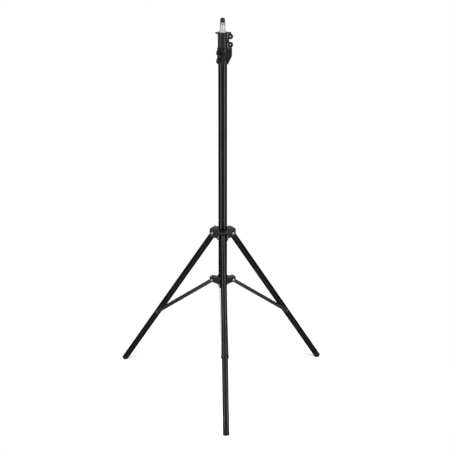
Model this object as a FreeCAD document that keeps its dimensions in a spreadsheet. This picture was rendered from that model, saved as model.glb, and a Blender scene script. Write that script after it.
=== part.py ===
"""Telescopic lighting stand: three tube sections on a folding tripod base.

Millimetres, +Z up. The origin is on the floor, on the axis of the column. Leg 1 points
along -Y, and legs 2 and 3 follow at a third of a turn each, towards +X.
"""
import FreeCAD
import Part
import Sketcher
import math
import os

# Driving dimensions, in millimetres, degrees and counts.
SIZES = {
    # Sections of the column
    "column_diameter": 25.0,
    "column_wall": 1.2,
    "column_length": 691.0,
    "middle_diameter": 22.0,
    "middle_wall": 1.2,
    "middle_length": 688.0,
    "top_diameter": 19.0,
    "top_wall": 1.2,
    "top_length": 700.0,
    # Clearances
    "slide_clearance": 0.08,
    "seat_clearance": 0.05,
    "pivot_clearance": 0.05,
    "body_gap": 0.3,
    # Tripod geometry
    "foot_circle_radius": 343.0,
    "leg_pivot_radius": 28.8,
    "brace_pivot_radius": 31.5,
    "leg_length": 563.4,
    "leg_diameter": 18.0,
    "leg_wall": 1.0,
    "leg_top_reach": 3.0,
    "brace_length": 238.6,
    "brace_rivet_distance": 349.3,
    "strap_width": 10.4,
    "strap_thickness": 1.0,
    "rivet_diameter": 5.0,
    "rivet_head_diameter": 8.4,
    "rivet_head_height": 1.5,
    # Rubber foot
    "foot_shoulder": 14.0,
    "foot_insert": 20.0,
    "foot_height_share": 0.95,
    "foot_end_share": 0.94,
    "foot_corner": 1.5,
    # Leg hub
    "hub_radius": 16.5,
    "hub_below_pivot": 16.0,
    "hub_above_pivot": 15.0,
    "lug_width": 26.0,
    "lug_round": 8.0,
    "lug_below_pivot": 12.0,
    "lug_corner": 3.0,
    "lug_head_room": 1.2,
    "lug_roof": 5.3,
    "hub_boss_radius": 7.0,
    "hub_boss_reach": 21.5,
    # Brace collar at the foot of the column
    "collar_radius": 16.0,
    "collar_below_pivot": 8.5,
    "collar_above_pivot": 17.0,
    "tongue_reach": 8.0,
    "tongue_above_pivot": 9.6,
    "tongue_below_pivot": 6.5,
    "column_below_pivot": 16.0,
    "plug_dome_height": 8.0,
    "plug_depth": 14.0,
    "collar_rivet_diameter": 4.0,
    "collar_rivet_head": 7.0,
    # Lower clamp collar
    "lower_collar_radius": 15.5,
    "lower_collar_height": 44.5,
    "lower_collar_seat": 17.0,
    "lower_screw_height": 24.0,
    "lower_screw_azimuth": -33.0,
    "block_reach": 26.0,
    "block_width": 22.0,
    "block_straight": 20.5,
    "block_foot_reach": 15.0,
    "rib_start": -3.0,
    "rib_end": 20.0,
    "rib_height": 5.0,
    "rib_level": 30.0,
    "rib_proud": 1.2,
    "gusset_start": 3.0,
    "gusset_end": 18.0,
    "gusset_drop": 24.0,
    "gusset_inset": 3.0,
    "gusset_step": 6.0,
    # Upper clamp collar
    "upper_collar_radius": 13.85,
    "upper_collar_height": 44.5,
    "upper_collar_seat": 15.0,
    "upper_screw_height": 20.7,
    "upper_screw_azimuth": 90.0,
    "lip_height": 3.6,
    "lip_reach": 20.3,
    "lip_screw_reach": 24.0,
    "lip_root_width": 20.0,
    "lip_tip_width": 7.0,
    # Clamp screws and their brake pads
    "stud_diameter": 6.0,
    "boss_radius": 7.0,
    "boss_proud": 0.2,
    "pad_diameter": 9.0,
    "pad_thickness": 2.2,
    "wing_lobe_radius": 7.8,
    "wing_lobe_offset": 11.8,
    "wing_lobe_rise": 7.2,
    "wing_thickness": 5.0,
    "wing_root_share": 0.85,
    "wing_bar_height": 1.8,
    "wing_hub_radius": 5.2,
    "wing_hub_height": 4.0,
    "wing_eye_radius": 1.8,
    "knob_radius": 11.0,
    "knob_length": 12.0,
    "knob_flute_radius": 2.4,
    "knob_flutes": 8.0,
    # Guide bushes at the lower ends of the moving sections
    "bush_flange": 6.0,
    "bush_insert": 6.0,
    "bush_bore": 12.0,
    # Spigot at the top
    "spigot_diameter": 16.0,
    "spigot_flange_diameter": 20.6,
    "spigot_flange_height": 1.4,
    "spigot_flare_height": 3.4,
    "spigot_plain_height": 16.0,
    "spigot_neck_height": 1.2,
    "spigot_neck_diameter": 13.6,
    "spigot_hex_height": 5.8,
    "spigot_stem": 26.0,
    "spigot_pin_diameter": 3.0,
    "spigot_pin_depth": 16.0,
    "thread_diameter": 9.5,
    "thread_length": 11.0,
    "cap_diameter": 13.6,
    "cap_height": 13.0,
    "cap_dome": 5.0,
}

LEG_AZIMUTHS = (0.0, 120.0, 240.0)
BACK_AZIMUTH = 180.0
Z_AXIS = FreeCAD.Vector(0, 0, 1)
Y_AXIS = FreeCAD.Vector(0, 1, 0)


class Size:
    """A number together with the sheet expression that gives it."""

    def __init__(self, value, text):
        self.value = value
        self.text = text

    def __add__(self, other):
        other = as_size(other)
        return Size(self.value + other.value, f"({self.text} + {other.text})")

    def __sub__(self, other):
        other = as_size(other)
        return Size(self.value - other.value, f"({self.text} - {other.text})")

    def __mul__(self, other):
        other = as_size(other)
        return Size(self.value * other.value, f"({self.text} * {other.text})")

    def __truediv__(self, other):
        other = as_size(other)
        return Size(self.value / other.value, f"({self.text} / {other.text})")

    def __neg__(self):
        return Size(-self.value, f"(0 - {self.text})")


def as_size(number):
    """A plain number as a Size, so that both can be used in one sum."""
    return number if isinstance(number, Size) else Size(float(number), f"{float(number)}")


def root_of(size):
    """The square root of a Size."""
    return Size(math.sqrt(size.value), f"sqrt({size.text})")


doc = FreeCAD.newDocument("lighting_stand")
sheet = doc.addObject("Spreadsheet::Sheet", "Sizes")
for row, (alias, number) in enumerate(SIZES.items(), start=1):
    sheet.set(f"A{row}", alias)
    sheet.set(f"B{row}", str(number))
    sheet.setAlias(f"B{row}", alias)
doc.recompute()
S = {alias: Size(float(sheet.get(alias)), f"Sizes.{alias}") for alias in SIZES}
NODES = []


def vector(x, y, z):
    """A point from three Sizes or numbers."""
    return FreeCAD.Vector(as_size(x).value, as_size(y).value, as_size(z).value)


def bind(feature, **sizes):
    """Bind properties of a feature to sheet expressions."""
    for name, size in sizes.items():
        size = as_size(size)
        setattr(feature, name, size.value)
        feature.setExpression(name, size.text)


def along(direction, point):
    """The placement that turns +Z into a direction and moves the origin to a point."""
    return FreeCAD.Placement(point, FreeCAD.Rotation(Z_AXIS, direction))


def along_y(point):
    """The placement that turns +Z to +Y and moves the origin to a point."""
    return along(Y_AXIS, point)


def at_height(height):
    """The placement that lifts a piece to a height on the column's axis."""
    return FreeCAD.Placement(vector(0, 0, height), FreeCAD.Rotation())


def towards(azimuth):
    """The turn about the column that brings +X to an azimuth counted from -Y towards +X."""
    return FreeCAD.Placement(FreeCAD.Vector(), FreeCAD.Rotation(Z_AXIS, azimuth - 90.0))


def cylinder(radius, length, place=None):
    """A cylinder that stands on its placement's origin."""
    feature = doc.addObject("Part::Cylinder", "Cylinder")
    bind(feature, Radius=radius, Height=length)
    feature.Placement = place or FreeCAD.Placement()
    return feature


def box(length, width, height, place):
    """A box whose low corner is at its placement's origin."""
    feature = doc.addObject("Part::Box", "Box")
    bind(feature, Length=length, Width=width, Height=height)
    feature.Placement = place
    return feature


def sphere(radius, place=None, low_latitude=-90.0, high_latitude=90.0):
    """A sphere, or the slice of one between two latitudes."""
    feature = doc.addObject("Part::Sphere", "Sphere")
    bind(feature, Radius=radius)
    feature.Angle1 = low_latitude
    feature.Angle2 = high_latitude
    feature.Placement = place or FreeCAD.Placement()
    return feature


def fuse(*shapes):
    """The union of several objects."""
    feature = doc.addObject("Part::MultiFuse", "Fusion")
    feature.Shapes = list(shapes)
    return feature


def cut(base, *tools):
    """An object less one or more others."""
    feature = doc.addObject("Part::Cut", "Cut")
    feature.Base = base
    feature.Tool = tools[0] if len(tools) == 1 else fuse(*tools)
    return feature


def common(first, second):
    """What two objects share."""
    feature = doc.addObject("Part::Common", "Common")
    feature.Base = first
    feature.Tool = second
    return feature


def group(*shapes):
    """Separate solids kept side by side in one object."""
    feature = doc.addObject("Part::Compound", "Group")
    feature.Links = list(shapes)
    return feature


def node(label, feature, place):
    """Name a finished sub-part, carry it from its own frame to its place and list it."""
    feature.Label = label
    feature.Placement = place.multiply(feature.Placement)
    NODES.append(feature)


def sketch_on(body, role):
    """A new sketch on one of a body's own origin planes."""
    sketch = body.newObject("Sketcher::SketchObject", "Sketch")
    for plane in body.Origin.OriginFeatures:
        if plane.Role == role:
            sketch.AttachmentSupport = [(plane, "")]
    sketch.MapMode = "FlatFace"
    return sketch


def hold(sketch, kind, *items):
    """Add a sized constraint whose last item is a Size, and bind it to the sheet."""
    size = as_size(items[-1])
    index = sketch.addConstraint(Sketcher.Constraint(kind, *items[:-1], size.value))
    sketch.setExpression(f"Constraints[{index}]", size.text)


def draw_circle(sketch, radius):
    """A circle about the sketch's origin."""
    circle = Part.Circle(FreeCAD.Vector(), Z_AXIS, as_size(radius).value)
    index = sketch.addGeometry(circle, False)
    sketch.addConstraint(Sketcher.Constraint("Coincident", index, 3, -1, 1))
    hold(sketch, "Radius", index, radius)


def draw_outline(sketch, points):
    """A closed outline of straight lines through points given as pairs of sizes."""
    corners = [(as_size(across), as_size(up)) for across, up in points]
    count = len(corners)
    first = None
    for number, (across, up) in enumerate(corners):
        next_across, next_up = corners[(number + 1) % count]
        start = FreeCAD.Vector(across.value, up.value, 0)
        end = FreeCAD.Vector(next_across.value, next_up.value, 0)
        index = sketch.addGeometry(Part.LineSegment(start, end), False)
        first = index if first is None else first
        if abs(across.value) < 1e-9:
            sketch.addConstraint(Sketcher.Constraint("PointOnObject", index, 1, -2))
        else:
            hold(sketch, "DistanceX", -1, 1, index, 1, across)
        if abs(up.value) < 1e-9:
            sketch.addConstraint(Sketcher.Constraint("PointOnObject", index, 1, -1))
        else:
            hold(sketch, "DistanceY", -1, 1, index, 1, up)
    for number in range(count):
        follower = first + (number + 1) % count
        sketch.addConstraint(Sketcher.Constraint("Coincident", first + number, 2, follower, 1))


def tube(outer_radius, wall, length):
    """A body padded up from two circles."""
    body = doc.addObject("PartDesign::Body", "Tube")
    sketch = sketch_on(body, "XY_Plane")
    draw_circle(sketch, outer_radius)
    draw_circle(sketch, outer_radius - wall)
    pad = body.newObject("PartDesign::Pad", "Pad")
    pad.Profile = sketch
    bind(pad, Length=length)
    return body


def turned(points):
    """A body turned about +Z from an outline of radius and height pairs."""
    body = doc.addObject("PartDesign::Body", "Turned")
    sketch = sketch_on(body, "XZ_Plane")
    draw_outline(sketch, points)
    revolution = body.newObject("PartDesign::Revolution", "Revolution")
    revolution.Profile = sketch
    revolution.ReferenceAxis = (sketch, ["V_Axis"])
    revolution.Angle = 360.0
    return body


def plate(points, thickness):
    """A body padded to both sides of the XZ plane from an outline in it."""
    body = doc.addObject("PartDesign::Body", "Plate")
    sketch = sketch_on(body, "XZ_Plane")
    draw_outline(sketch, points)
    pad = body.newObject("PartDesign::Pad", "Pad")
    pad.Profile = sketch
    pad.SideType = "Symmetric"
    bind(pad, Length=thickness)
    return body


def flat_plate(points, thickness):
    """A body padded up from an outline in the XY plane."""
    body = doc.addObject("PartDesign::Body", "Plate")
    sketch = sketch_on(body, "XY_Plane")
    draw_outline(sketch, points)
    pad = body.newObject("PartDesign::Pad", "Pad")
    pad.Profile = sketch
    bind(pad, Length=thickness)
    return body


# Sizes that several pieces share
column_radius = S["column_diameter"] / 2
column_bore = column_radius - S["column_wall"]
middle_radius = S["middle_diameter"] / 2
middle_bore = middle_radius - S["middle_wall"]
top_radius = S["top_diameter"] / 2
top_bore = top_radius - S["top_wall"]
leg_radius = S["leg_diameter"] / 2
leg_bore = leg_radius - S["leg_wall"]
leg_dome_radius = root_of(leg_radius * leg_radius + S["leg_top_reach"] * S["leg_top_reach"])
rivet_radius = S["rivet_diameter"] / 2
rivet_hole = rivet_radius + S["pivot_clearance"]
strap_inner = leg_radius + S["body_gap"]
strap_outer = strap_inner + S["strap_thickness"]
stud_radius = S["stud_diameter"] / 2
stud_hole = stud_radius + S["pivot_clearance"]
pad_radius = S["pad_diameter"] / 2
slot_width = S["leg_diameter"] + S["body_gap"] * 2
tongue_width = (strap_inner - S["body_gap"]) * 2

# Heights of the tripod's pivots, from the floor up
foot_height = leg_radius * S["foot_height_share"]
leg_run = S["foot_circle_radius"] - S["leg_pivot_radius"]
leg_rise = root_of(S["leg_length"] * S["leg_length"] - leg_run * leg_run)
leg_lean = math.degrees(math.asin(leg_run.value / S["leg_length"].value))
hub_pivot = foot_height + leg_rise
rivet_share = S["brace_rivet_distance"] / S["leg_length"]
rivet_reach = S["leg_pivot_radius"] + leg_run * rivet_share
rivet_height = hub_pivot - leg_rise * rivet_share
brace_run = rivet_reach - S["brace_pivot_radius"]
brace_drop = root_of(S["brace_length"] * S["brace_length"] - brace_run * brace_run)
brace_slope = math.degrees(math.asin(brace_drop.value / S["brace_length"].value))
collar_pivot = rivet_height + brace_drop

# Heights of the column's sections, pushed all the way in
column_foot = collar_pivot - S["column_below_pivot"]
column_head = column_foot + S["column_length"]
lower_collar_foot = column_head - S["lower_collar_seat"]
lower_collar_head = lower_collar_foot + S["lower_collar_height"]
lower_screw_level = lower_collar_foot + S["lower_screw_height"]
upper_collar_foot = lower_collar_head + S["body_gap"]
upper_collar_head = upper_collar_foot + S["upper_collar_height"]
upper_screw_level = upper_collar_foot + S["upper_screw_height"]
middle_head = upper_collar_foot + S["upper_collar_seat"]
middle_foot = middle_head - S["middle_length"]
top_head = upper_collar_head + S["body_gap"]
top_foot = top_head - S["top_length"]


def guide_bush(tube_bore, guide_radius):
    """A bush in the lower end of a section, whose flange runs in the section outside it."""
    insert = tube_bore - S["seat_clearance"]
    bore = S["bush_bore"] / 2
    return turned([
        (bore, -S["bush_flange"]),
        (guide_radius - S["slide_clearance"], -S["bush_flange"]),
        (guide_radius - S["slide_clearance"], 0),
        (insert, 0),
        (insert, S["bush_insert"]),
        (bore, S["bush_insert"]),
    ])


def wall_rivet(tube_inner, collar_radius):
    """A rivet through a collar's wall and its tube's, along +Z from the tube's bore."""
    inner = tube_inner + S["body_gap"]
    head = S["collar_rivet_head"] / 2
    shank = S["collar_rivet_diameter"] / 2
    rise = S["rivet_head_height"]
    return turned([
        (0, inner),
        (shank, inner),
        (shank, collar_radius),
        (head, collar_radius),
        (head, collar_radius + rise / 2),
        (head - rise / 2, collar_radius + rise),
        (0, collar_radius + rise),
    ])


def wall_rivet_hole(length):
    """The hole for a wall rivet, along +Z from the axis."""
    return cylinder(S["collar_rivet_diameter"] / 2 + S["seat_clearance"], length)


def radial(azimuth, height):
    """The placement that turns +Z outwards at an azimuth and a height."""
    outwards = FreeCAD.Placement(FreeCAD.Vector(), FreeCAD.Rotation(Y_AXIS, 90.0))
    return at_height(height).multiply(towards(azimuth)).multiply(outwards)


def moved(feature, place):
    """Place a helper feature and return it."""
    feature.Placement = place
    return feature


def cross_rivet(half_grip):
    """A rivet along Y with a head at each end of its grip."""
    head = S["rivet_head_diameter"] / 2
    rise = S["rivet_head_height"]
    upper = [
        (rivet_radius, half_grip),
        (head, half_grip),
        (head, half_grip + rise / 2),
        (head - rise / 2, half_grip + rise),
        (0, half_grip + rise),
    ]
    lower = [(across, -up if isinstance(up, Size) else up) for across, up in reversed(upper)]
    return turned(lower + upper)


def ear_rivet(inner, outer):
    """A short rivet through one ear, along +Z, with its head outside the ear."""
    head = S["rivet_head_diameter"] / 2
    rise = S["rivet_head_height"]
    return turned([
        (0, inner),
        (rivet_radius, inner),
        (rivet_radius, outer),
        (head, outer),
        (head, outer + rise / 2),
        (head - rise / 2, outer + rise),
        (0, outer + rise),
    ])


def brake_pad(tube_radius):
    """A round pad along +Z, hollowed to the tube that it presses on."""
    gap_radius = tube_radius + S["body_gap"]
    disc = cylinder(pad_radius, tube_radius + S["pad_thickness"])
    across = along(FreeCAD.Vector(1, 0, 0), vector(-S["pad_diameter"], 0, 0))
    hollow = cylinder(gap_radius, S["pad_diameter"] * 2, across)
    return cut(disc, hollow)


def clamp_holes(tube_radius, reach):
    """The pad's pocket and the stud's hole, along +Z from the axis."""
    pocket = cylinder(pad_radius + S["seat_clearance"], tube_radius + S["pad_thickness"] + S["body_gap"])
    return fuse(pocket, cylinder(stud_hole, reach))


def clamp_stud(tube_radius, seat):
    """A threaded stud from just behind the brake pad into its handle, along +Z."""
    start = tube_radius + S["pad_thickness"] + S["body_gap"]
    end = seat + S["wing_hub_height"] - S["body_gap"]
    return cylinder(stud_radius, end - start, at_height(start))


def wing_handle(seat):
    """A butterfly handle along +Z above its seat, with its wings to both sides along X."""
    half = S["wing_thickness"] / 2
    lobes = []
    eyes = []
    root_half = S["wing_lobe_radius"] * S["wing_root_share"]
    for side in (-1, 1):
        centre = vector(S["wing_lobe_offset"] * side, half, S["wing_lobe_rise"])
        across = along(FreeCAD.Vector(0, -1, 0), centre)
        lobes.append(cylinder(S["wing_lobe_radius"], S["wing_thickness"], across))
        eyes.append(cylinder(S["wing_eye_radius"], S["wing_thickness"], across))
        corner = vector(S["wing_lobe_offset"] * side - root_half, -half, 0)
        root = FreeCAD.Placement(corner, FreeCAD.Rotation())
        lobes.append(box(root_half * 2, S["wing_thickness"], S["wing_lobe_rise"], root))
    bar = box(
        S["wing_lobe_offset"] * 2,
        S["wing_thickness"],
        S["wing_bar_height"],
        FreeCAD.Placement(vector(-S["wing_lobe_offset"], -half, 0), FreeCAD.Rotation()),
    )
    hub = cylinder(S["wing_hub_radius"], S["wing_hub_height"])
    span = S["wing_lobe_offset"] + S["wing_lobe_radius"]
    below = box(
        span * 2,
        S["wing_lobe_radius"] * 2,
        S["wing_lobe_radius"] * 2,
        FreeCAD.Placement(
            vector(-span, -S["wing_lobe_radius"], -S["wing_lobe_radius"] * 2),
            FreeCAD.Rotation(),
        ),
    )
    socket = cylinder(stud_radius + S["seat_clearance"], S["wing_hub_height"] - S["body_gap"])
    handle = cut(fuse(bar, hub, *lobes), below, socket, *eyes)
    return moved(handle, at_height(seat))


def knob_handle(seat):
    """A round fluted knob along +Z above its seat."""
    knob = cylinder(S["knob_radius"], S["knob_length"])
    flutes = []
    count = int(S["knob_flutes"].value)
    for number in range(count):
        angle = math.tau * number / count
        rim = S["knob_radius"].value + S["knob_flute_radius"].value / 2
        point = FreeCAD.Vector(rim * math.cos(angle), rim * math.sin(angle), 0)
        place = FreeCAD.Placement(point, FreeCAD.Rotation())
        flutes.append(cylinder(S["knob_flute_radius"], S["knob_length"], place))
    socket = cylinder(stud_radius + S["seat_clearance"], S["wing_hub_height"] - S["body_gap"])
    return moved(cut(knob, socket, *flutes), at_height(seat))


def build_column():
    """The fixed outer tube and the plug in its foot."""
    column = tube(column_radius, S["column_wall"], S["column_length"])
    low_hole = moved(wall_rivet_hole(column_radius * 2), radial(BACK_AZIMUTH, S["column_below_pivot"]))
    high_level = S["column_length"] - S["lower_collar_seat"] / 2
    high_hole = moved(wall_rivet_hole(column_radius * 2), radial(BACK_AZIMUTH, high_level))
    node("column_tube", cut(column, low_hole, high_hole), at_height(column_foot))

    dome = S["plug_dome_height"]
    dome_radius = (column_radius * column_radius + dome * dome) / (dome * 2)
    cap = common(
        sphere(dome_radius, at_height(dome_radius - dome)),
        cylinder(column_radius, dome, at_height(-dome)),
    )
    insert = cylinder(column_bore - S["seat_clearance"], S["plug_depth"])
    pin_end = moved(wall_rivet_hole(column_radius * 2), radial(BACK_AZIMUTH, S["column_below_pivot"]))
    node("column_plug", cut(fuse(cap, insert), pin_end), at_height(column_foot))


def build_middle_section():
    """The middle tube and the bush in its foot."""
    middle = tube(middle_radius, S["middle_wall"], S["middle_length"])
    level = S["middle_length"] - S["upper_collar_seat"] / 2
    hole = moved(wall_rivet_hole(middle_radius * 2), radial(BACK_AZIMUTH, level))
    node("middle_tube", cut(middle, hole), at_height(middle_foot))
    node("middle_tube_bush", guide_bush(middle_bore, column_bore), at_height(middle_foot))


def build_top_section():
    """The top tube, the bush in its foot and the spigot pinned in its head."""
    top = tube(top_radius, S["top_wall"], S["top_length"])
    pin_hole_radius = S["spigot_pin_diameter"] / 2 + S["seat_clearance"]
    tube_hole = cylinder(
        pin_hole_radius,
        S["top_diameter"] * 2,
        along_y(vector(0, -S["top_diameter"], S["top_length"] - S["spigot_pin_depth"])),
    )
    node("top_tube", cut(top, tube_hole), at_height(top_foot))
    node("top_tube_bush", guide_bush(top_bore, middle_bore), at_height(top_foot))

    spigot_radius = S["spigot_diameter"] / 2
    stem_radius = top_bore - S["seat_clearance"]
    flange_radius = S["spigot_flange_diameter"] / 2
    neck_radius = S["spigot_neck_diameter"] / 2
    flange_top = S["spigot_flange_height"]
    plain_foot = flange_top + S["spigot_flare_height"]
    plain_top = plain_foot + S["spigot_plain_height"]
    hex_foot = plain_top + S["spigot_neck_height"]
    hex_top = hex_foot + S["spigot_hex_height"]
    thread_radius = S["thread_diameter"] / 2
    stud = turned([
        (0, -S["spigot_stem"]),
        (stem_radius, -S["spigot_stem"]),
        (stem_radius, 0),
        (flange_radius, 0),
        (flange_radius, flange_top),
        (spigot_radius, plain_foot),
        (spigot_radius, plain_top),
        (neck_radius, plain_top),
        (neck_radius, hex_foot),
        (thread_radius, hex_foot),
        (thread_radius, hex_top + S["thread_length"]),
        (0, hex_top + S["thread_length"]),
    ])
    hex_head = doc.addObject("Part::Prism", "Hexagon")
    hex_head.Polygon = 6
    bind(hex_head, Circumradius=spigot_radius, Height=S["spigot_hex_height"])
    hex_head.Placement = at_height(hex_foot)
    stem_hole = cylinder(
        pin_hole_radius,
        S["top_diameter"] * 2,
        along_y(vector(0, -S["top_diameter"], -S["spigot_pin_depth"])),
    )
    node("spigot", cut(fuse(stud, hex_head), stem_hole), at_height(top_head))

    pin = cylinder(S["spigot_pin_diameter"] / 2, (top_radius - S["slide_clearance"]) * 2)
    pin_start = vector(0, -(top_radius - S["slide_clearance"]), top_head - S["spigot_pin_depth"])
    node("spigot_pin", pin, along_y(pin_start))

    cap_radius = S["cap_diameter"] / 2
    dome = S["cap_dome"]
    dome_radius = (cap_radius * cap_radius + dome * dome) / (dome * 2)
    cap_top = S["cap_height"]
    shell = fuse(
        cylinder(cap_radius, cap_top - dome),
        common(
            sphere(dome_radius, at_height(cap_top - dome_radius)),
            cylinder(cap_radius, dome, at_height(cap_top - dome)),
        ),
    )
    thread_room = cylinder(thread_radius + S["slide_clearance"], S["thread_length"])
    node("spigot_cap", cut(shell, thread_room), at_height(top_head + hex_top + S["body_gap"]))


def build_lower_collar():
    """The clamp collar fixed on the head of the column."""
    height = S["lower_collar_height"]
    radius = S["lower_collar_radius"]
    sleeve = cylinder(radius, height)
    block = plate([
        (0, 0),
        (S["block_foot_reach"], 0),
        (S["block_reach"], height - S["block_straight"]),
        (S["block_reach"], height),
        (0, height),
    ], S["block_width"])
    rib_front = radius + S["rib_proud"]
    rib = box(
        S["rib_end"] - S["rib_start"],
        rib_front,
        S["rib_height"],
        FreeCAD.Placement(vector(S["rib_start"], -rib_front, S["rib_level"]), FreeCAD.Rotation()),
    )
    gusset_foot = S["rib_level"] - S["gusset_drop"]
    gusset = plate([
        (0, gusset_foot),
        (radius - S["gusset_inset"], gusset_foot),
        (rib_front, S["rib_level"] - S["gusset_step"]),
        (rib_front, S["rib_level"]),
        (0, S["rib_level"]),
    ], S["gusset_end"] - S["gusset_start"])
    middle = (S["gusset_start"] + S["gusset_end"]) / 2
    turn = FreeCAD.Rotation(Z_AXIS, -90.0)
    gusset.Placement = FreeCAD.Placement(vector(middle, 0, 0), turn)
    azimuth = S["lower_screw_azimuth"].value
    boss_reach = radius + S["boss_proud"]
    boss = cylinder(S["boss_radius"], boss_reach, radial(azimuth, S["lower_screw_height"]))
    seat_depth = S["lower_collar_seat"]
    column_seat = cylinder(column_radius + S["seat_clearance"], seat_depth)
    guide = cylinder(middle_radius + S["slide_clearance"], height)
    holes = moved(clamp_holes(middle_radius, radius * 2), radial(azimuth, S["lower_screw_height"]))
    rivet_hole_place = radial(BACK_AZIMUTH, seat_depth / 2)
    rivet_room = moved(wall_rivet_hole(radius * 2), rivet_hole_place)
    solid = fuse(sleeve, block, rib, gusset, boss)
    node("lower_collar", cut(solid, column_seat, guide, holes, rivet_room), at_height(lower_collar_foot))

    screw = radial(azimuth, lower_screw_level)
    handle_seat = boss_reach + S["body_gap"]
    node("lower_brake_pad", brake_pad(middle_radius), screw)
    node("lower_clamp_stud", clamp_stud(middle_radius, handle_seat), screw)
    node("lower_wing_handle", wing_handle(handle_seat), screw)
    rivet_level = lower_collar_foot + seat_depth / 2
    node("lower_collar_rivet", wall_rivet(column_bore, radius), radial(BACK_AZIMUTH, rivet_level))


def build_upper_collar():
    """The clamp collar fixed on the head of the middle tube."""
    height = S["upper_collar_height"]
    radius = S["upper_collar_radius"]
    sleeve = cylinder(radius, height)
    lip_foot = height - S["lip_height"]
    root_half = S["lip_root_width"] / 2
    tip_half = S["lip_tip_width"] / 2
    plain_reach = S["lip_reach"]
    screw_reach = S["lip_screw_reach"]
    lip = flat_plate([
        (-plain_reach, -tip_half),
        (0, -root_half),
        (screw_reach, -tip_half),
        (screw_reach, tip_half),
        (0, root_half),
        (-plain_reach, tip_half),
    ], S["lip_height"])
    lip.Placement = at_height(lip_foot)
    azimuth = S["upper_screw_azimuth"].value
    boss_reach = radius + S["boss_proud"]
    boss = cylinder(S["boss_radius"], boss_reach, radial(azimuth, S["upper_screw_height"]))
    seat_depth = S["upper_collar_seat"]
    middle_seat = cylinder(middle_radius + S["seat_clearance"], seat_depth)
    guide = cylinder(top_radius + S["slide_clearance"], height)
    holes = moved(clamp_holes(top_radius, radius * 2), radial(azimuth, S["upper_screw_height"]))
    rivet_room = moved(wall_rivet_hole(radius * 2), radial(BACK_AZIMUTH, seat_depth / 2))
    solid = fuse(sleeve, lip, boss)
    node("upper_collar", cut(solid, middle_seat, guide, holes, rivet_room), at_height(upper_collar_foot))

    screw = radial(azimuth, upper_screw_level)
    handle_seat = boss_reach + S["body_gap"]
    node("upper_brake_pad", brake_pad(top_radius), screw)
    node("upper_clamp_stud", clamp_stud(top_radius, handle_seat), screw)
    node("upper_wing_handle", wing_handle(handle_seat), screw)
    rivet_level = upper_collar_foot + seat_depth / 2
    node("upper_collar_rivet", wall_rivet(middle_bore, radius), radial(BACK_AZIMUTH, rivet_level))


def build_leg_hub():
    """The sliding hub that carries the tops of the legs, with its clamp knob and rivets."""
    radius = S["hub_radius"]
    pivot = S["leg_pivot_radius"]
    sleeve_foot = -S["hub_below_pivot"]
    sleeve_height = S["hub_below_pivot"] + S["hub_above_pivot"]
    solids = [cylinder(radius, sleeve_height, at_height(sleeve_foot))]
    slots = []
    ear_end = pivot + S["lug_round"]
    slot_top = leg_dome_radius + S["lug_head_room"]
    lug_top = slot_top + S["lug_roof"]
    lug_foot = -S["lug_below_pivot"]
    corner = S["lug_corner"]
    ear_half = S["lug_width"] / 2
    slot_start = radius + S["body_gap"]
    slot_foot = sleeve_foot - S["body_gap"]
    for azimuth in LEG_AZIMUTHS:
        lug = plate([
            (0, lug_foot),
            (pivot - corner, lug_foot),
            (ear_end, lug_foot + corner),
            (ear_end, lug_top - corner),
            (ear_end - corner, lug_top),
            (0, lug_top),
        ], S["lug_width"])
        solids.append(moved(lug, towards(azimuth)))
        slot_place = towards(azimuth).multiply(
            FreeCAD.Placement(vector(slot_start, -(slot_width / 2), slot_foot), FreeCAD.Rotation()))
        slot_length = S["lug_round"] * 3 + radius
        slots.append(box(slot_length, slot_width, slot_top - slot_foot, slot_place))
        start = towards(azimuth).multiply(along_y(vector(pivot, -S["lug_width"], 0)))
        slots.append(cylinder(rivet_radius + S["seat_clearance"], S["lug_width"] * 2, start))
    knob_place = radial(BACK_AZIMUTH, 0)
    solids.append(cylinder(S["hub_boss_radius"], S["hub_boss_reach"], knob_place))
    bore_length = sleeve_height + lug_top
    bore_foot = at_height(sleeve_foot - S["body_gap"])
    bore = cylinder(column_radius + S["slide_clearance"], bore_length, bore_foot)
    holes = moved(clamp_holes(column_radius, S["hub_boss_reach"] * 2), knob_place)
    node("leg_hub", cut(fuse(*solids), bore, holes, *slots), at_height(hub_pivot))

    screw = radial(BACK_AZIMUTH, hub_pivot)
    knob_seat = S["hub_boss_reach"] + S["body_gap"]
    node("hub_brake_pad", brake_pad(column_radius), screw)
    node("hub_clamp_stud", clamp_stud(column_radius, knob_seat), screw)
    node("hub_knob", knob_handle(knob_seat), screw)
    for number, azimuth in enumerate(LEG_AZIMUTHS, start=1):
        middle = at_height(hub_pivot).multiply(towards(azimuth))
        pair = []
        for side in (-1, 1):
            place = along(FreeCAD.Vector(0, side, 0), vector(pivot, 0, 0))
            pair.append(moved(ear_rivet(slot_width / 2, ear_half), place))
        node(f"hub_rivets_{number}", group(*pair), middle)


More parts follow.
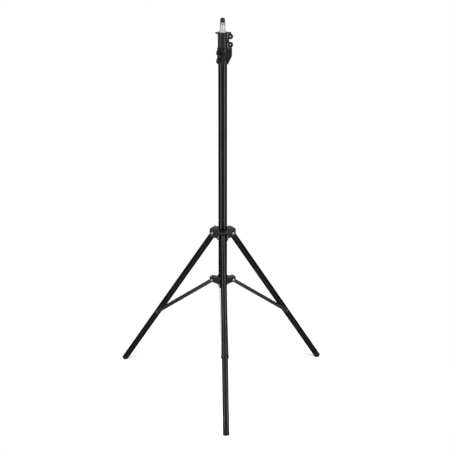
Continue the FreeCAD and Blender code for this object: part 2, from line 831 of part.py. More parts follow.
def build_brace_collar():
    """The collar fixed at the foot of the column, whose tongues carry the braces."""
    radius = S["collar_radius"]
    pivot = S["brace_pivot_radius"]
    foot = -S["collar_below_pivot"]
    height = S["collar_below_pivot"] + S["collar_above_pivot"]
    solids = [cylinder(radius, height, at_height(foot))]
    holes = [cylinder(column_radius + S["seat_clearance"], height, at_height(foot))]
    end = pivot + S["tongue_reach"]
    bottom = -S["tongue_below_pivot"]
    top = S["tongue_above_pivot"]
    for azimuth in LEG_AZIMUTHS:
        tongue = plate([
            (0, foot),
            (radius, foot),
            (pivot - S["tongue_reach"] / 2, bottom),
            (end - S["tongue_reach"] / 2, bottom),
            (end, 0),
            (end, top),
            (0, top),
        ], tongue_width)
        solids.append(moved(tongue, towards(azimuth)))
        start = towards(azimuth).multiply(along_y(vector(pivot, -tongue_width, 0)))
        holes.append(cylinder(rivet_radius + S["seat_clearance"], tongue_width * 2, start))
    level = column_foot + S["column_below_pivot"] - collar_pivot
    rivet_place = radial(BACK_AZIMUTH, level)
    holes.append(moved(wall_rivet_hole(radius * 2), rivet_place))
    node("brace_collar", cut(fuse(*solids), *holes), at_height(collar_pivot))
    node("brace_collar_rivet", wall_rivet(column_bore, radius), radial(BACK_AZIMUTH, collar_pivot))
    for number, azimuth in enumerate(LEG_AZIMUTHS, start=1):
        pin = moved(cross_rivet(strap_outer + S["body_gap"]), along_y(vector(pivot, 0, 0)))
        node(f"brace_pin_{number}", group(pin), at_height(collar_pivot).multiply(towards(azimuth)))


def build_leg(number, azimuth):
    """One leg tube with its top plug and its rubber foot."""
    length = S["leg_length"]
    foot_point = vector(S["foot_circle_radius"], 0, foot_height)
    leg_place = towards(azimuth).multiply(
        FreeCAD.Placement(foot_point, FreeCAD.Rotation(Y_AXIS, -leg_lean)))
    start = S["foot_shoulder"]
    rivet_level = length - S["brace_rivet_distance"]
    top = length + S["leg_top_reach"]
    shaft = moved(tube(leg_radius, S["leg_wall"], top - start), at_height(start))
    bore = S["leg_diameter"] * 2
    brace_hole = cylinder(rivet_hole, bore, along_y(vector(0, -S["leg_diameter"], rivet_level)))
    top_hole = cylinder(rivet_hole, bore, along_y(vector(0, -S["leg_diameter"], length)))
    node(f"leg_{number}_tube", cut(shaft, brace_hole, top_hole), leg_place)

    dome = common(
        sphere(leg_dome_radius, at_height(length)),
        cylinder(leg_radius, leg_radius, at_height(top)),
    )
    insert_radius = leg_bore - S["seat_clearance"]
    insert = cylinder(insert_radius, S["leg_diameter"], at_height(top - S["leg_diameter"]))
    plug_hole = cylinder(rivet_hole, bore, along_y(vector(0, -S["leg_diameter"], length)))
    node(f"leg_{number}_plug", cut(fuse(dome, insert), plug_hole), leg_place)

    corner = S["foot_corner"]
    foot_end = -(leg_radius * S["foot_end_share"])
    shell = turned([
        (0, foot_end),
        (leg_radius - corner, foot_end),
        (leg_radius, foot_end + corner),
        (leg_radius, start),
        (insert_radius, start),
        (insert_radius, start + S["foot_insert"]),
        (0, start + S["foot_insert"]),
    ])
    under = box(
        leg_radius * 4,
        leg_radius * 4,
        leg_radius * 2,
        FreeCAD.Placement(
            vector(S["foot_circle_radius"] - leg_radius * 2, -(leg_radius * 2), -(leg_radius * 2)),
            FreeCAD.Rotation(),
        ),
    )
    local = FreeCAD.Placement(foot_point, FreeCAD.Rotation(Y_AXIS, -leg_lean)).inverse()
    under.Placement = local.multiply(under.Placement)
    node(f"leg_{number}_foot", cut(shell, under), leg_place)


def build_brace(number, azimuth):
    """The two flat straps of one brace and the rivet that joins them to the leg."""
    length = S["brace_length"]
    half = S["strap_width"] / 2
    collar_point = vector(S["brace_pivot_radius"], 0, collar_pivot)
    brace_place = towards(azimuth).multiply(
        FreeCAD.Placement(collar_point, FreeCAD.Rotation(Y_AXIS, brace_slope)))
    for side, name in ((-1, "left"), (1, "right")):
        middle = (strap_inner + strap_outer) / 2 * side
        low = middle - S["strap_thickness"] / 2
        ends = []
        holes = []
        for reach in (as_size(0), length):
            across = along_y(vector(reach, low, 0))
            ends.append(cylinder(half, S["strap_thickness"], across))
            holes.append(cylinder(rivet_hole, S["strap_thickness"], across))
        place = FreeCAD.Placement(vector(0, low, -half), FreeCAD.Rotation())
        bar = box(length, S["strap_thickness"], S["strap_width"], place)
        node(f"brace_{number}_{name}_strap", cut(fuse(bar, *ends), *holes), brace_place)
    rivet = moved(cross_rivet(strap_outer), along_y(vector(length, 0, 0)))
    node(f"leg_rivet_{number}", group(rivet), brace_place)


def write_parts():
    """Check every object of the document and write each node's solid."""
    doc.recompute()
    for feature in doc.Objects:
        if "Invalid" in feature.State or "Error" in feature.State:
            raise RuntimeError(f"{feature.Name} ({feature.Label}) failed: {feature.State}")
    os.makedirs("parts", exist_ok=True)
    for feature in NODES:
        shape = feature.Shape
        if shape.isNull() or not shape.isValid():
            raise RuntimeError(f"{feature.Label} has no valid shape")
        shape.exportStep(f"parts/{feature.Label}.step")


build_column()
build_middle_section()
build_top_section()
build_lower_collar()
build_upper_collar()
build_leg_hub()
build_brace_collar()
for leg_number, leg_azimuth in enumerate(LEG_AZIMUTHS, start=1):
    build_leg(leg_number, leg_azimuth)
    build_brace(leg_number, leg_azimuth)
write_parts()
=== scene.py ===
"""The looks of a telescopic lighting stand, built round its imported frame.

Every piece is in metres, in the frame's own place. Sub-assemblies are classes that hold
their sizes, make their meshes and dress them in finishes.
"""
import logging
import math
from dataclasses import dataclass, field
from enum import Enum

import bmesh
import bpy
from mathutils import Euler, Matrix, Vector


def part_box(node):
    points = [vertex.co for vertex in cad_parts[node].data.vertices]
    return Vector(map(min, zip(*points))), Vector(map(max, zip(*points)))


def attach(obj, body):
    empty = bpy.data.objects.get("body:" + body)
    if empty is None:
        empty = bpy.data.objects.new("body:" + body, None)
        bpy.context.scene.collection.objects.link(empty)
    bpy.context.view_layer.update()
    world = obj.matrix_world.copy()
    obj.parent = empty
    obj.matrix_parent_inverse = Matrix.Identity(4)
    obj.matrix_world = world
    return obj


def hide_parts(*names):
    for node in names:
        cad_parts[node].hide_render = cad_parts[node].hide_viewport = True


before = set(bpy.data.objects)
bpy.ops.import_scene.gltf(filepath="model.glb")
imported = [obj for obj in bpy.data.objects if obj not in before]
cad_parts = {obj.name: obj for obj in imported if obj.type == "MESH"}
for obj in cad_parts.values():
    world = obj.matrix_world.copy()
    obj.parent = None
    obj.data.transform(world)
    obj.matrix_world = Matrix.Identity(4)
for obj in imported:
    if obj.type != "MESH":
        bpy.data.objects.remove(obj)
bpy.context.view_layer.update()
MM = 0.001
LEG_AZIMUTHS = {1: 0.0, 2: 120.0, 3: 240.0}
Colour = tuple[float, float, float]
Profile = list[tuple[float, float]]

# Shared look of every finish: soft clouds some centimetres wide, specks about a millimetre wide
CLOUD_SCALE = 22.0
CLOUD_SHARE = 0.65
SPECK_SCALE = 900.0
SPECK_SHARE = 0.35
WORN_FROM, WORN_TO = 0.42, 0.78
GLOSS_FROM, GLOSS_TO = 0.3, 0.7
BUMP_STRENGTH = 0.6
# The pattern's scale along a drawn or turned grain, against one across it
GRAIN_RUN = 0.02

# Mesh work: distances in metres and angles in degrees
SPIN_MERGE = 1e-7
NODE_MERGE = 2e-6
FLAT_ANGLE = 0.4
EDGE_ANGLE = 35.0
ROUNDED_ANGLE = 30.0

logging.basicConfig(level=logging.INFO, format="%(message)s")
log = logging.getLogger("lighting_stand")


class Grain(Enum):
    """The small-scale texture of a surface."""

    DRAWN = "fine lines along a tube"
    MOULDED = "fine eggshell pebble"
    TURNED = "fine rings left by a lathe"
    RUBBER = "soft dusty pebble"
    PLATED = "faint cloudy plating"

    def squeeze(self) -> tuple[float, float, float]:
        """The scale of the grain's pattern along each axis of the piece."""
        along = GRAIN_RUN if self is Grain.DRAWN else 1.0
        across = GRAIN_RUN if self is Grain.TURNED else 1.0
        return (across, across, along)


@dataclass(frozen=True)
class Finish:
    """A surface finish, made into a procedural material on object coordinates."""

    name: str
    colour: Colour
    worn_colour: Colour
    roughness: tuple[float, float]
    grain: Grain
    slot: str
    metallic: float = 0.0
    specular: float = 0.5
    # An edge tint below one darkens reflections towards the silhouette; the tube's 0.12 is partly
    # painted shade
    edge_tint: float = 1.0
    grain_size: float = 0.4 * MM
    grain_depth: float = 0.02 * MM

    def material(self, turn: Matrix | None = None) -> bpy.types.Material:
        """Build the material, or return the one already built for this turn.

        Args:
            turn: The rotation of the piece that the grain follows, if it leans.

        Returns:
            The material, shared by every piece with the same finish and turn.
        """
        angles = (turn if turn is not None else Matrix()).to_euler()
        suffix = "" if turn is None else "_" + "_".join(f"{math.degrees(a):.0f}" for a in angles)
        known = bpy.data.materials.get(self.name + suffix)
        if known:
            return known
        material = bpy.data.materials.new(self.name + suffix)
        material.use_nodes = True
        tree = material.node_tree
        shader = tree.nodes["Principled BSDF"]
        shader.inputs["Metallic"].default_value = self.metallic
        shader.inputs["Specular IOR Level"].default_value = self.specular
        # The edge tint colours the grazing reflections; on the tube it paints shade onto the edges
        shader.inputs["Specular Tint"].default_value = (self.edge_tint,) * 3 + (1.0,)
        wear = self._wear(tree, angles)
        self._tint(tree, shader, wear)
        self._gloss(tree, shader, wear)
        self._relief(tree, shader, angles)
        return material

    def _placed(self, tree: bpy.types.NodeTree, angles: Euler) -> bpy.types.Node:
        """Object coordinates, turned with the piece.

        Args:
            tree: The material's nodes.
            angles: The turn of the piece.

        Returns:
            The node whose first output is the turned vector.
        """
        where = tree.nodes.new("ShaderNodeTexCoord")
        mapping = tree.nodes.new("ShaderNodeMapping")
        mapping.vector_type = "TEXTURE"
        mapping.inputs["Rotation"].default_value = tuple(angles)
        tree.links.new(where.outputs["Object"], mapping.inputs["Vector"])
        return mapping

    def _noise(
        self, tree: bpy.types.NodeTree, place: bpy.types.Node, scale: float, detail: float, rough: float
    ) -> bpy.types.NodeSocket:
        """A noise texture read at a placed vector.

        Args:
            tree: The material's nodes.
            place: The node that gives the vector.
            scale: How many features there are to a metre.
            detail: How many finer layers are added.
            rough: How strong the finer layers are.

        Returns:
            The noise's value.
        """
        noise = tree.nodes.new("ShaderNodeTexNoise")
        noise.inputs["Scale"].default_value = scale
        noise.inputs["Detail"].default_value = detail
        noise.inputs["Roughness"].default_value = rough
        tree.links.new(place.outputs[0], noise.inputs["Vector"])
        return noise.outputs["Fac"]

    def _wear(self, tree: bpy.types.NodeTree, angles: Euler) -> bpy.types.NodeSocket:
        """Clouds and specks added up, from nought to one.

        Args:
            tree: The material's nodes.
            angles: The turn of the piece.

        Returns:
            The sum, weighted by the two shares.
        """
        place = self._placed(tree, angles)
        cloud = self._noise(tree, place, CLOUD_SCALE, detail=3.0, rough=0.55)
        speck = self._noise(tree, place, SPECK_SCALE, detail=2.0, rough=0.5)
        scaled = tree.nodes.new("ShaderNodeMath")
        scaled.operation = "MULTIPLY"
        scaled.inputs[1].default_value = SPECK_SHARE
        tree.links.new(speck, scaled.inputs[0])
        total = tree.nodes.new("ShaderNodeMath")
        total.operation = "MULTIPLY_ADD"
        total.inputs[1].default_value = CLOUD_SHARE
        tree.links.new(cloud, total.inputs[0])
        tree.links.new(scaled.outputs[0], total.inputs[2])
        return total.outputs[0]

    def _tint(
        self, tree: bpy.types.NodeTree, shader: bpy.types.Node, wear: bpy.types.NodeSocket
    ) -> None:
        """Fade the colour into the worn one.

        Args:
            tree: The material's nodes.
            shader: The surface's shader.
            wear: How worn the surface is.
        """
        blend = tree.nodes.new("ShaderNodeMapRange")
        blend.inputs["From Min"].default_value = WORN_FROM
        blend.inputs["From Max"].default_value = WORN_TO
        tree.links.new(wear, blend.inputs["Value"])
        tint = tree.nodes.new("ShaderNodeMix")
        tint.data_type = "RGBA"
        tint.inputs["A"].default_value = (*self.colour, 1.0)
        tint.inputs["B"].default_value = (*self.worn_colour, 1.0)
        tree.links.new(blend.outputs[0], tint.inputs["Factor"])
        tree.links.new(tint.outputs["Result"], shader.inputs["Base Color"])

    def _gloss(
        self, tree: bpy.types.NodeTree, shader: bpy.types.Node, wear: bpy.types.NodeSocket
    ) -> None:
        """Let the roughness wander between its two limits.

        Args:
            tree: The material's nodes.
            shader: The surface's shader.
            wear: How worn the surface is.
        """
        gloss = tree.nodes.new("ShaderNodeMapRange")
        gloss.inputs["From Min"].default_value = GLOSS_FROM
        gloss.inputs["From Max"].default_value = GLOSS_TO
        gloss.inputs["To Min"].default_value = self.roughness[0]
        gloss.inputs["To Max"].default_value = self.roughness[1]
        tree.links.new(wear, gloss.inputs["Value"])
        tree.links.new(gloss.outputs[0], shader.inputs["Roughness"])

    def _relief(self, tree: bpy.types.NodeTree, shader: bpy.types.Node, angles: Euler) -> None:
        """Raise the grain, drawn out as its kind asks.

        Args:
            tree: The material's nodes.
            shader: The surface's shader.
            angles: The turn of the piece.
        """
        squeeze = tree.nodes.new("ShaderNodeVectorMath")
        squeeze.operation = "MULTIPLY"
        squeeze.inputs[1].default_value = self.grain.squeeze()
        tree.links.new(self._placed(tree, angles).outputs[0], squeeze.inputs[0])
        fine = self._noise(tree, squeeze, 1.0 / self.grain_size, detail=2.0, rough=0.6)
        bump = tree.nodes.new("ShaderNodeBump")
        bump.inputs["Strength"].default_value = BUMP_STRENGTH
        bump.inputs["Distance"].default_value = self.grain_depth
        tree.links.new(fine, bump.inputs["Height"])
        tree.links.new(bump.outputs["Normal"], shader.inputs["Normal"])


# The tube's edge tint of 0.12 darkens its reflections towards the silhouette: partly the black coat's
# own weak grazing sheen, partly painted shade that stands in for dark surroundings at the sides
TUBE = Finish(
    "satin_black_tube", (0.0118, 0.0113, 0.0110), (0.0176, 0.0169, 0.0163), (0.15, 0.21),
    Grain.DRAWN, "black_tube", metallic=1.0, edge_tint=0.12, grain_size=0.5 * MM,
    grain_depth=0.002 * MM,
)
STRAP = Finish(
    "enamelled_strap", (0.0045, 0.0043, 0.0041), (0.0090, 0.0085, 0.0080), (0.32, 0.44),
    Grain.MOULDED, "black_strap", specular=0.14, grain_size=0.9 * MM, grain_depth=0.012 * MM,
)
MOULDING = Finish(
    "moulded_nylon", (0.0030, 0.0029, 0.0028), (0.0076, 0.0073, 0.0071), (0.30, 0.44),
    Grain.MOULDED, "moulded_black", specular=0.12, grain_size=0.45 * MM, grain_depth=0.03 * MM,
)
BEARING = Finish(
    "natural_nylon", (0.52, 0.51, 0.46), (0.43, 0.42, 0.38), (0.40, 0.55),
    Grain.MOULDED, "bearing_plastic", grain_size=0.5 * MM, grain_depth=0.02 * MM,
)
STEEL = Finish(
    "plated_steel", (0.16, 0.159, 0.161), (0.11, 0.109, 0.107), (0.26, 0.38),
    Grain.PLATED, "bright_steel", metallic=1.0, grain_size=0.8 * MM, grain_depth=0.008 * MM,
)
DARK_STEEL = Finish(
    "blackened_steel", (0.030, 0.030, 0.030), (0.060, 0.058, 0.056), (0.30, 0.42),
    Grain.PLATED, "dark_steel", metallic=1.0, grain_size=0.8 * MM, grain_depth=0.008 * MM,
)
SPIGOT = Finish(
    "turned_spigot", (0.27, 0.27, 0.28), (0.22, 0.22, 0.22), (0.52, 0.62),
    Grain.TURNED, "spigot_metal", metallic=1.0, grain_size=0.25 * MM, grain_depth=0.010 * MM,
)
CAP_RUBBER = Finish(
    "cap_rubber", (0.0055, 0.0055, 0.0053), (0.0110, 0.0107, 0.0103), (0.40, 0.55),
    Grain.RUBBER, "rubber_cap", specular=0.12, grain_size=0.6 * MM, grain_depth=0.03 * MM,
)
FOOT_RUBBER = Finish(
    "foot_rubber", (0.0030, 0.0030, 0.0029), (0.0070, 0.0067, 0.0064), (0.45, 0.62),
    Grain.RUBBER, "rubber_foot", specular=0.08, grain_size=0.7 * MM, grain_depth=0.04 * MM,
)


def leg_frame(azimuth: float) -> Matrix:
    """The turn that brings +X to a leg's azimuth, counted from -Y towards +X."""
    return Matrix.Rotation(math.radians(azimuth - 90.0), 4, "Z")


def centre_of(node: str) -> Vector:
    """The middle of the box that holds one of the frame's nodes."""
    low, high = (Vector(corner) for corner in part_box(node))
    return (low + high) / 2


def finished(name: str, bm: bmesh.types.BMesh, sharp: float = EDGE_ANGLE) -> bpy.types.Object:
    """Turn a bmesh into an object at the origin, smooth but for its sharp edges.

    Args:
        name: The piece's name.
        bm: The shape, already in its place; it is freed here.
        sharp: The angle in degrees past which an edge stays sharp.

    Returns:
        The new object, linked to the scene.
    """
    bmesh.ops.recalc_face_normals(bm, faces=bm.faces)
    mesh = bpy.data.meshes.new(name)
    bm.to_mesh(mesh)
    bm.free()
    mesh.shade_smooth()
    mesh.set_sharp_from_angle(angle=math.radians(sharp))
    piece = bpy.data.objects.new(name, mesh)
    bpy.context.scene.collection.objects.link(piece)
    return piece


def dress(piece: bpy.types.Object, finish: Finish, body: str) -> None:
    """Give a piece its finish and the body that it rides on.

    Args:
        piece: The new piece.
        finish: What it is made of.
        body: The frame's body that carries it.
    """
    piece.data.materials.clear()
    piece.data.materials.append(finish.material())
    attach(piece, body)
    log.info("%s: %s on %s", piece.name, finish.name, body)


def keep_node(node: str, finish: Finish, turn: Matrix | None = None) -> None:
    """Keep a frame node as it is and give it a finish.

    Args:
        node: The frame node.
        finish: What it is made of.
        turn: The rotation that its grain follows, if it leans.
    """
    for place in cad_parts[node].material_slots:
        place.material = finish.material(turn)
    log.info("%s: kept, %s", node, finish.name)


def spun(profile: Profile, place: Matrix, steps: int = 40) -> bmesh.types.BMesh:
    """Turn an outline of radius and height pairs about +Z, then move it to its place.

    Args:
        profile: The outline, from axis to axis.
        place: The matrix from the outline's frame to the object's.
        steps: How many sides the turned shape has.

    Returns:
        The closed shape.
    """
    bm = bmesh.new()
    verts = [bm.verts.new((radius, 0.0, height)) for radius, height in profile]
    edges = [bm.edges.new(pair) for pair in zip(verts, verts[1:])]
    bmesh.ops.spin(
        bm, geom=verts + edges, cent=(0, 0, 0), axis=(0, 0, 1), dvec=(0, 0, 0),
        angle=math.tau, steps=steps, use_merge=True, use_duplicate=False,
    )
    bmesh.ops.remove_doubles(bm, verts=bm.verts, dist=SPIN_MERGE)
    bmesh.ops.transform(bm, matrix=place, verts=bm.verts)
    return bm


def dome(radius: float, foot: float, rise: float, count: int = 6) -> Profile:
    """The outline of a low dome from its rim to its crown."""
    angles = [math.pi / 2 * step / count for step in range(count + 1)]
    return [(radius * math.cos(angle), foot + rise * math.sin(angle)) for angle in angles]


def softened(node: str, name: str, width: float) -> bpy.types.Object:
    """A copy of a frame node with its edges rounded over, which stands for the node.

    Args:
        node: The frame node that is copied and replaced.
        name: The new piece's name.
        width: The width of the rounding, in metres.

    Returns:
        The new piece.
    """
    bm = bmesh.new()
    bm.from_mesh(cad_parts[node].data)
    bmesh.ops.remove_doubles(bm, verts=bm.verts, dist=NODE_MERGE)
    flat = math.radians(FLAT_ANGLE)
    bmesh.ops.dissolve_limit(bm, angle_limit=flat, verts=bm.verts, edges=bm.edges)
    sharp = [edge for edge in bm.edges if edge.calc_face_angle(0.0) > math.radians(EDGE_ANGLE)]
    bmesh.ops.bevel(
        bm, geom=sharp, offset=width, offset_type="OFFSET", segments=3, profile=0.5,
        affect="EDGES", clamp_overlap=True, material=-1,
    )
    piece = finished(name, bm, sharp=ROUNDED_ANGLE)
    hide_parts(node)
    return piece


@dataclass
class Tubes:
    """The drawn tubes of the column and the legs, which keep their frame shapes."""

    upright: tuple[str, ...] = ("column_tube", "middle_tube", "top_tube")

    def build(self) -> None:
        """Dress the tubes, with the drawn lines running along each."""
        for node in self.upright:
            keep_node(node, TUBE)
        for number, azimuth in LEG_AZIMUTHS.items():
            low, high = centre_of(f"leg_{number}_foot"), centre_of(f"leg_{number}_plug")
            lean = math.atan2((low.xy - high.xy).length, high.z - low.z)
            turn = leg_frame(azimuth) @ Matrix.Rotation(-lean, 4, "Y")
            keep_node(f"leg_{number}_tube", TUBE, turn)
            keep_node(f"leg_{number}_plug", MOULDING)


@dataclass
class Collars:
    """The mouldings on the column, with their brake pads, bushes and rivets."""

    edge: float = 0.7 * MM
    rivet_edge: float = 0.35 * MM
    mouldings: dict[str, str] = field(default_factory=lambda: {
        "lower_collar": "column", "upper_collar": "middle_section", "leg_hub": "hub",
        "brace_collar": "column", "column_plug": "column",
    })
    bearings: tuple[str, ...] = (
        "lower_brake_pad", "upper_brake_pad", "hub_brake_pad", "middle_tube_bush", "top_tube_bush",
    )
    rivets: dict[str, str] = field(default_factory=lambda: {
        "lower_collar_rivet": "column", "upper_collar_rivet": "middle_section",
        "brace_collar_rivet": "column",
    })

    def build(self) -> None:
        """Round the mouldings' and rivets' edges and dress everything."""
        for node, body in self.mouldings.items():
            dress(softened(node, f"{node}_moulding", self.edge), MOULDING, body)
        for node in self.bearings:
            keep_node(node, BEARING)
        for node, body in self.rivets.items():
            dress(softened(node, f"{node}_steel", self.rivet_edge), STEEL, body)


@dataclass
class ClampHandles:
    """The wing handles and the hub's knob, with their studs."""

    edge: float = 0.9 * MM
    grips: dict[str, str] = field(default_factory=lambda: {
        "lower_wing_handle": "lower_screw", "upper_wing_handle": "upper_screw",
        "hub_knob": "hub_screw",
    })
    studs: tuple[str, ...] = ("lower_clamp_stud", "upper_clamp_stud", "hub_clamp_stud")

    def build(self) -> None:
        """Round the handles over and dress them."""
        for node, body in self.grips.items():
            dress(softened(node, f"{node}_grip", self.edge), MOULDING, body)
        for node in self.studs:
            keep_node(node, STEEL)


@dataclass
class Braces:
    """The pairs of flat straps between the brace collar and the legs."""

    edge: float = 0.3 * MM

    def build(self) -> None:
        """Round the straps' edges and dress them."""
        for number in LEG_AZIMUTHS:
            for side in ("left", "right"):
                bar = softened(f"brace_{number}_{side}_strap", f"brace_{number}_{side}_bar", self.edge)
                dress(bar, STRAP, f"brace_{number}")


@dataclass
class Feet:
    """The rubber tips on the legs."""

    edge: float = 0.35 * MM

    def build(self) -> None:
        """Round the tips' rims and dress them."""
        for number in LEG_AZIMUTHS:
            tip = softened(f"leg_{number}_foot", f"leg_{number}_tip", self.edge)
            dress(tip, FOOT_RUBBER, f"leg_{number}")


@dataclass
class SpigotHead:
    """The bright spigot with its hexagon, cross pin and cap."""

    edge: float = 0.4 * MM

    def build(self) -> None:
        """Dress the spigot, its pin and its cap."""
        dress(softened("spigot", "spigot_stud", self.edge), SPIGOT, "top_section")
        keep_node("spigot_pin", STEEL)
        dress(softened("spigot_cap", "spigot_thread_cap", self.edge), CAP_RUBBER, "cap")


@dataclass
class Rivets:
    """Domed rivets: the braces' pins, the legs' rivets and the short ones in the hub's ears."""

    head_radius: float = 4.2 * MM
    head_rise: float = 1.5 * MM
    rim_rise: float = 0.25 * MM
    dimple_share: float = 0.28
    dimple_floor_share: float = 0.6
    dimple_lip_height: float = 0.96
    dimple_floor_height: float = 0.72
    shank_radius: float = 2.5 * MM
    ear_inner: float = 9.3 * MM
    ear_outer: float = 13.0 * MM
    collar_pin_grip: float = 10.6 * MM
    leg_rivet_grip: float = 10.3 * MM

    def _head(self, foot: float) -> Profile:
        """A head's outline: a short rim, a dome and a small pressed dimple.

        Args:
            foot: The height at which the head starts.

        Returns:
            The outline, from the head's edge to the axis.
        """
        crown = dome(self.head_radius, foot + self.rim_rise, self.head_rise - self.rim_rise)
        dimple = self.head_radius * self.dimple_share
        kept = [point for point in crown if point[0] > dimple]
        sunk = foot + self.head_rise * self.dimple_floor_height
        return [
            (self.head_radius, foot),
            *kept,
            (dimple, foot + self.head_rise * self.dimple_lip_height),
            (dimple * self.dimple_floor_share, sunk),
            (0.0, sunk),
        ]

    def _through(self, grip: float) -> Profile:
        """A rivet with a head at each end."""
        upper = [(self.shank_radius, grip), *self._head(grip)]
        return [(radius, -height) for radius, height in reversed(upper)] + upper

    def _short(self) -> Profile:
        """A rivet through one ear of the hub."""
        shank = [(0.0, self.ear_inner), (self.shank_radius, self.ear_inner)]
        return [*shank, (self.shank_radius, self.ear_outer), *self._head(self.ear_outer)]

    def _across(self, azimuth: float, centre: Vector, side: int = 1) -> Matrix:
        """The place of a rivet that lies across a leg's plane."""
        lay = Matrix.Rotation(math.radians(-90.0 * side), 4, "X")
        return Matrix.Translation(centre) @ leg_frame(azimuth) @ lay

    def _long_rivet(self, node: str, name: str, azimuth: float, grip: float) -> bpy.types.Object:
        """Make a rivet with two heads that stands for a frame node.

        Args:
            node: The frame node that gives the place and is replaced.
            name: The new piece's name.
            azimuth: The leg's azimuth.
            grip: Half the length between the heads.

        Returns:
            The new piece.
        """
        rivet = finished(name, spun(self._through(grip), self._across(azimuth, centre_of(node))))
        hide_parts(node)
        return rivet

    def _ear_pair(self, number: int, azimuth: float) -> bpy.types.Object:
        """Make the two short rivets at one leg's top.

        Args:
            number: The leg's number.
            azimuth: The leg's azimuth.

        Returns:
            The new piece.
        """
        node = f"hub_rivets_{number}"
        pair = spun(self._short(), self._across(azimuth, centre_of(node), side=1))
        other = spun(self._short(), self._across(azimuth, centre_of(node), side=-1))
        spare = bpy.data.meshes.new("spare")
        other.to_mesh(spare)
        other.free()
        pair.from_mesh(spare)
        bpy.data.meshes.remove(spare)
        ears = finished(f"hub_rivets_steel_{number}", pair)
        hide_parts(node)
        return ears

    def build(self) -> None:
        """Make every rivet of the tripod."""
        for number, azimuth in LEG_AZIMUTHS.items():
            pin = self._long_rivet(
                f"brace_pin_{number}", f"brace_pin_steel_{number}", azimuth, self.collar_pin_grip
            )
            dress(pin, STEEL, "column")
            rivet = self._long_rivet(
                f"leg_rivet_{number}", f"leg_rivet_steel_{number}", azimuth, self.leg_rivet_grip
            )
            dress(rivet, DARK_STEEL, f"brace_{number}")
            dress(self._ear_pair(number, azimuth), STEEL, "hub")


@dataclass(frozen=True)
class Softbox:
    """A rectangular lamp that faces a point on the column's axis."""

    name: str
    place: tuple[float, float, float]
    size: tuple[float, float]
    power: float
    aim_height: float

    def build(self) -> None:
        """Make the lamp."""
        lamp = bpy.data.lights.new(self.name, "AREA")
        lamp.shape = "RECTANGLE"
        lamp.size, lamp.size_y = self.size
        lamp.energy = self.power
        holder = bpy.data.objects.new(self.name, lamp)
        bpy.context.scene.collection.objects.link(holder)
        holder.location = self.place
        gaze = Vector((0.0, 0.0, self.aim_height)) - Vector(self.place)
        holder.rotation_euler = gaze.to_track_quat("-Z", "Y").to_euler()


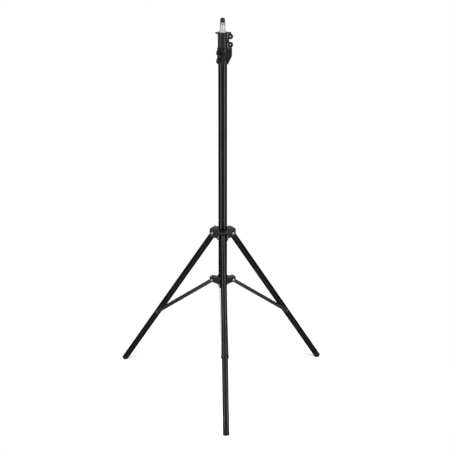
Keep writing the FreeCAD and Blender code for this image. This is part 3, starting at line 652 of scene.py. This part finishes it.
@dataclass
class Studio:
    """The pale floor, the soft lamps, the white surround and the camera."""

    softboxes: tuple[Softbox, ...] = (
        Softbox("left_softbox", (-0.94, -0.80, 1.1), (0.38, 2.2), 25.0, 1.1),
        Softbox("right_softbox", (0.98, -0.76, 1.1), (0.38, 2.2), 31.0, 1.1),
        Softbox("top_softbox", (-0.5, -1.6, 3.4), (1.6, 1.6), 45.0, 0.6),
    )
    white: tuple[float, float, float, float] = (1.0, 1.0, 1.0, 1.0)
    floor_colour: tuple[float, float, float, float] = (0.86, 0.86, 0.86, 1.0)
    floor_roughness: float = 0.9
    floor_specular: float = 0.1
    floor_lift: float = 0.20
    floor_half: float = 30.0
    lit_radius: float = 0.38
    white_radius: float = 0.75
    soft_strength: float = 0.45
    seen_strength: float = 1.0
    camera_place: tuple[float, float, float] = (-0.1134, -4.218, 2.052)
    camera_tilt: float = 69.85
    camera_turn: float = -1.63
    lens: float = 123.6
    sensor: float = 36.0

    def build(self) -> None:
        """Make the whole studio."""
        self._floor()
        self._surround()
        for softbox in self.softboxes:
            softbox.build()
        self._camera()

    def _seen_rays(self, tree: bpy.types.NodeTree) -> bpy.types.NodeSocket:
        """One where a camera, glossy or transmission ray looks, and nought elsewhere.

        Args:
            tree: The nodes that it is added to.

        Returns:
            The value.
        """
        path = tree.nodes.new("ShaderNodeLightPath")
        total = path.outputs["Is Camera Ray"]
        for ray in ("Is Glossy Ray", "Is Transmission Ray"):
            either = tree.nodes.new("ShaderNodeMath")
            either.operation = "MAXIMUM"
            tree.links.new(total, either.inputs[0])
            tree.links.new(path.outputs[ray], either.inputs[1])
            total = either.outputs[0]
        return total

    def _white_share(self, tree: bpy.types.NodeTree) -> bpy.types.NodeSocket:
        """How far the floor has faded to plain white, by its distance from the column.

        Args:
            tree: The floor's nodes.

        Returns:
            The share, nought where the object's shadow falls.
        """
        where = tree.nodes.new("ShaderNodeTexCoord")
        reach = tree.nodes.new("ShaderNodeVectorMath")
        reach.operation = "LENGTH"
        tree.links.new(where.outputs["Object"], reach.inputs[0])
        fade = tree.nodes.new("ShaderNodeMapRange")
        fade.interpolation_type = "SMOOTHSTEP"
        fade.inputs["From Min"].default_value = self.lit_radius
        fade.inputs["From Max"].default_value = self.white_radius
        tree.links.new(reach.outputs["Value"], fade.inputs["Value"])
        share = tree.nodes.new("ShaderNodeMath")
        share.operation = "MULTIPLY"
        tree.links.new(fade.outputs[0], share.inputs[0])
        tree.links.new(self._seen_rays(tree), share.inputs[1])
        return share.outputs[0]

    def _floor(self) -> None:
        """A plain white floor that keeps the object's shadow."""
        bm = bmesh.new()
        bmesh.ops.create_grid(bm, x_segments=1, y_segments=1, size=self.floor_half)
        floor = finished("floor", bm)
        material = bpy.data.materials.new("white_floor")
        material.use_nodes = True
        tree = material.node_tree
        shader = tree.nodes["Principled BSDF"]
        shader.inputs["Base Color"].default_value = self.floor_colour
        shader.inputs["Roughness"].default_value = self.floor_roughness
        shader.inputs["Specular IOR Level"].default_value = self.floor_specular
        shader.inputs["Emission Color"].default_value = self.white
        path = tree.nodes.new("ShaderNodeLightPath")
        lift = tree.nodes.new("ShaderNodeMath")
        lift.operation = "MULTIPLY"
        lift.inputs[1].default_value = self.floor_lift
        tree.links.new(path.outputs["Is Camera Ray"], lift.inputs[0])
        tree.links.new(lift.outputs[0], shader.inputs["Emission Strength"])
        glow = tree.nodes.new("ShaderNodeEmission")
        glow.inputs["Color"].default_value = self.white
        mix = tree.nodes.new("ShaderNodeMixShader")
        tree.links.new(self._white_share(tree), mix.inputs["Fac"])
        tree.links.new(shader.outputs[0], mix.inputs[1])
        tree.links.new(glow.outputs[0], mix.inputs[2])
        tree.links.new(mix.outputs[0], tree.nodes["Material Output"].inputs["Surface"])
        floor.data.materials.append(material)

    def _surround(self) -> None:
        """A white surround that lights the object at a plain level."""
        world = bpy.data.worlds.new("white_surround")
        bpy.context.scene.world = world
        world.use_nodes = True
        tree = world.node_tree
        soft = tree.nodes["Background"]
        soft.inputs["Color"].default_value = self.white
        soft.inputs["Strength"].default_value = self.soft_strength
        seen = tree.nodes.new("ShaderNodeBackground")
        seen.inputs["Color"].default_value = self.white
        seen.inputs["Strength"].default_value = self.seen_strength
        mix = tree.nodes.new("ShaderNodeMixShader")
        tree.links.new(self._seen_rays(tree), mix.inputs["Fac"])
        tree.links.new(soft.outputs[0], mix.inputs[1])
        tree.links.new(seen.outputs[0], mix.inputs[2])
        tree.links.new(mix.outputs[0], tree.nodes["World Output"].inputs["Surface"])

    def _camera(self) -> None:
        """The camera at the photograph's place and angle."""
        data = bpy.data.cameras.new("camera")
        data.lens = self.lens
        data.sensor_width = self.sensor
        camera = bpy.data.objects.new("camera", data)
        bpy.context.scene.collection.objects.link(camera)
        camera.location = self.camera_place
        camera.rotation_euler = (math.radians(self.camera_tilt), 0.0, math.radians(self.camera_turn))
        bpy.context.scene.camera = camera
        bpy.context.scene.view_settings.view_transform = "Standard"


def main() -> None:
    """Build every sub-assembly."""
    parts = (Tubes(), Collars(), ClampHandles(), Braces(), Feet(), SpigotHead(), Rivets(), Studio())
    for part in parts:
        log.info("building %s", type(part).__name__)
        part.build()


if __name__ == "__main__":
    main()
